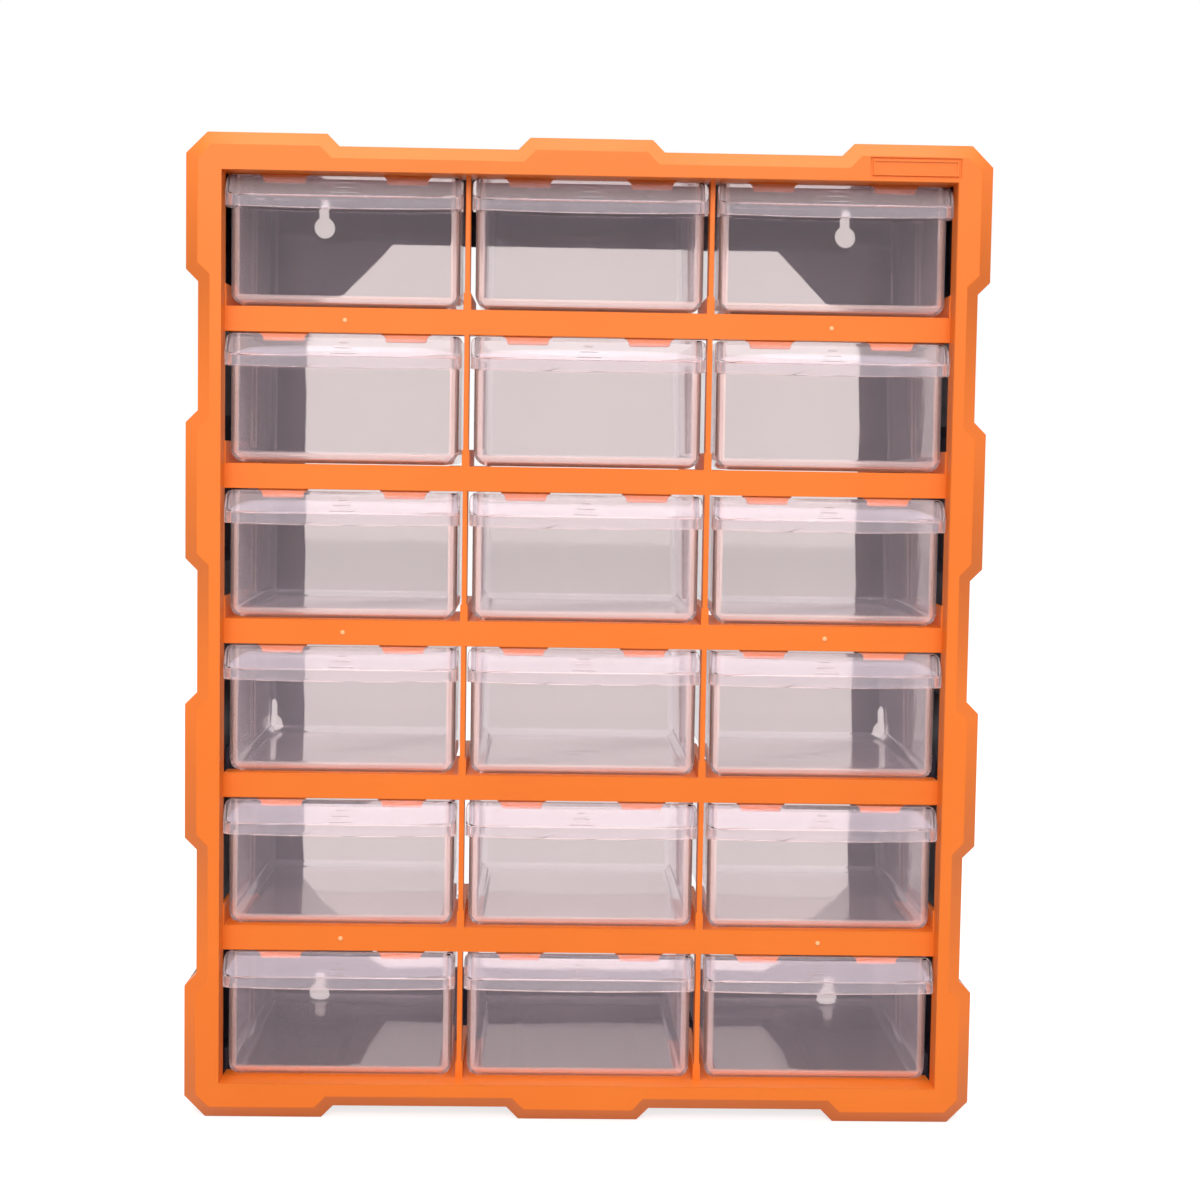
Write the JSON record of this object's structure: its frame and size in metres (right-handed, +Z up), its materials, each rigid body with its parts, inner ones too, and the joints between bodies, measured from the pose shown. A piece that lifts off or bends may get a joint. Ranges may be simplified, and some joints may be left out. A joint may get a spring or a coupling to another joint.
{
  "type": "parts bin cabinet",
  "caption": "Bench or wall cabinet of translucent drawers for small parts, in a moulded front frame on a black rear shell with keyholes.",
  "frame": {"origin": "middle of the base, on the surface that the cabinet stands on", "axes": "+X to the right, +Y back into the cabinet, +Z up"},
  "size_m": [0.38, 0.16, 0.47],
  "materials": {
    "orange_plastic": "fine satin moulded texture",
    "black_plastic": "satin moulded",
    "clear_plastic": "glossy, slightly milky, see-through"
  },
  "bodies": {
    "cabinet": {"front_frame": "orange_plastic", "rear_shell": "black_plastic"},
    "bin_r1_c1": {"drawer_r1_c1": "clear_plastic"},
    "bin_r1_c2": {"drawer_r1_c2": "clear_plastic"},
    "bin_r1_c3": {"drawer_r1_c3": "clear_plastic"},
    "bin_r2_c1": {"drawer_r2_c1": "clear_plastic"},
    "bin_r2_c2": {"drawer_r2_c2": "clear_plastic"},
    "bin_r2_c3": {"drawer_r2_c3": "clear_plastic"},
    "bin_r3_c1": {"drawer_r3_c1": "clear_plastic"},
    "bin_r3_c2": {"drawer_r3_c2": "clear_plastic"},
    "bin_r3_c3": {"drawer_r3_c3": "clear_plastic"},
    "bin_r4_c1": {"drawer_r4_c1": "clear_plastic"},
    "bin_r4_c2": {"drawer_r4_c2": "clear_plastic"},
    "bin_r4_c3": {"drawer_r4_c3": "clear_plastic"},
    "bin_r5_c1": {"drawer_r5_c1": "clear_plastic"},
    "bin_r5_c2": {"drawer_r5_c2": "clear_plastic"},
    "bin_r5_c3": {"drawer_r5_c3": "clear_plastic"},
    "bin_r6_c1": {"drawer_r6_c1": "clear_plastic"},
    "bin_r6_c2": {"drawer_r6_c2": "clear_plastic"},
    "bin_r6_c3": {"drawer_r6_c3": "clear_plastic"}
  },
  "joints": [
    {"name": "slide_r1_c1", "type": "slide", "parent": "cabinet", "child": "bin_r1_c1", "axis": [0, -1, 0], "range_m": [0, 0.13]},
    {"name": "slide_r1_c2", "type": "slide", "parent": "cabinet", "child": "bin_r1_c2", "axis": [0, -1, 0], "range_m": [0, 0.13]},
    {"name": "slide_r1_c3", "type": "slide", "parent": "cabinet", "child": "bin_r1_c3", "axis": [0, -1, 0], "range_m": [0, 0.13]},
    {"name": "slide_r2_c1", "type": "slide", "parent": "cabinet", "child": "bin_r2_c1", "axis": [0, -1, 0], "range_m": [0, 0.13]},
    {"name": "slide_r2_c2", "type": "slide", "parent": "cabinet", "child": "bin_r2_c2", "axis": [0, -1, 0], "range_m": [0, 0.13]},
    {"name": "slide_r2_c3", "type": "slide", "parent": "cabinet", "child": "bin_r2_c3", "axis": [0, -1, 0], "range_m": [0, 0.13]},
    {"name": "slide_r3_c1", "type": "slide", "parent": "cabinet", "child": "bin_r3_c1", "axis": [0, -1, 0], "range_m": [0, 0.13]},
    {"name": "slide_r3_c2", "type": "slide", "parent": "cabinet", "child": "bin_r3_c2", "axis": [0, -1, 0], "range_m": [0, 0.13]},
    {"name": "slide_r3_c3", "type": "slide", "parent": "cabinet", "child": "bin_r3_c3", "axis": [0, -1, 0], "range_m": [0, 0.13]},
    {"name": "slide_r4_c1", "type": "slide", "parent": "cabinet", "child": "bin_r4_c1", "axis": [0, -1, 0], "range_m": [0, 0.13]},
    {"name": "slide_r4_c2", "type": "slide", "parent": "cabinet", "child": "bin_r4_c2", "axis": [0, -1, 0], "range_m": [0, 0.13]},
    {"name": "slide_r4_c3", "type": "slide", "parent": "cabinet", "child": "bin_r4_c3", "axis": [0, -1, 0], "range_m": [0, 0.13]},
    {"name": "slide_r5_c1", "type": "slide", "parent": "cabinet", "child": "bin_r5_c1", "axis": [0, -1, 0], "range_m": [0, 0.13]},
    {"name": "slide_r5_c2", "type": "slide", "parent": "cabinet", "child": "bin_r5_c2", "axis": [0, -1, 0], "range_m": [0, 0.13]},
    {"name": "slide_r5_c3", "type": "slide", "parent": "cabinet", "child": "bin_r5_c3", "axis": [0, -1, 0], "range_m": [0, 0.13]},
    {"name": "slide_r6_c1", "type": "slide", "parent": "cabinet", "child": "bin_r6_c1", "axis": [0, -1, 0], "range_m": [0, 0.13]},
    {"name": "slide_r6_c2", "type": "slide", "parent": "cabinet", "child": "bin_r6_c2", "axis": [0, -1, 0], "range_m": [0, 0.13]},
    {"name": "slide_r6_c3", "type": "slide", "parent": "cabinet", "child": "bin_r6_c3", "axis": [0, -1, 0], "range_m": [0, 0.13]}
  ]
}
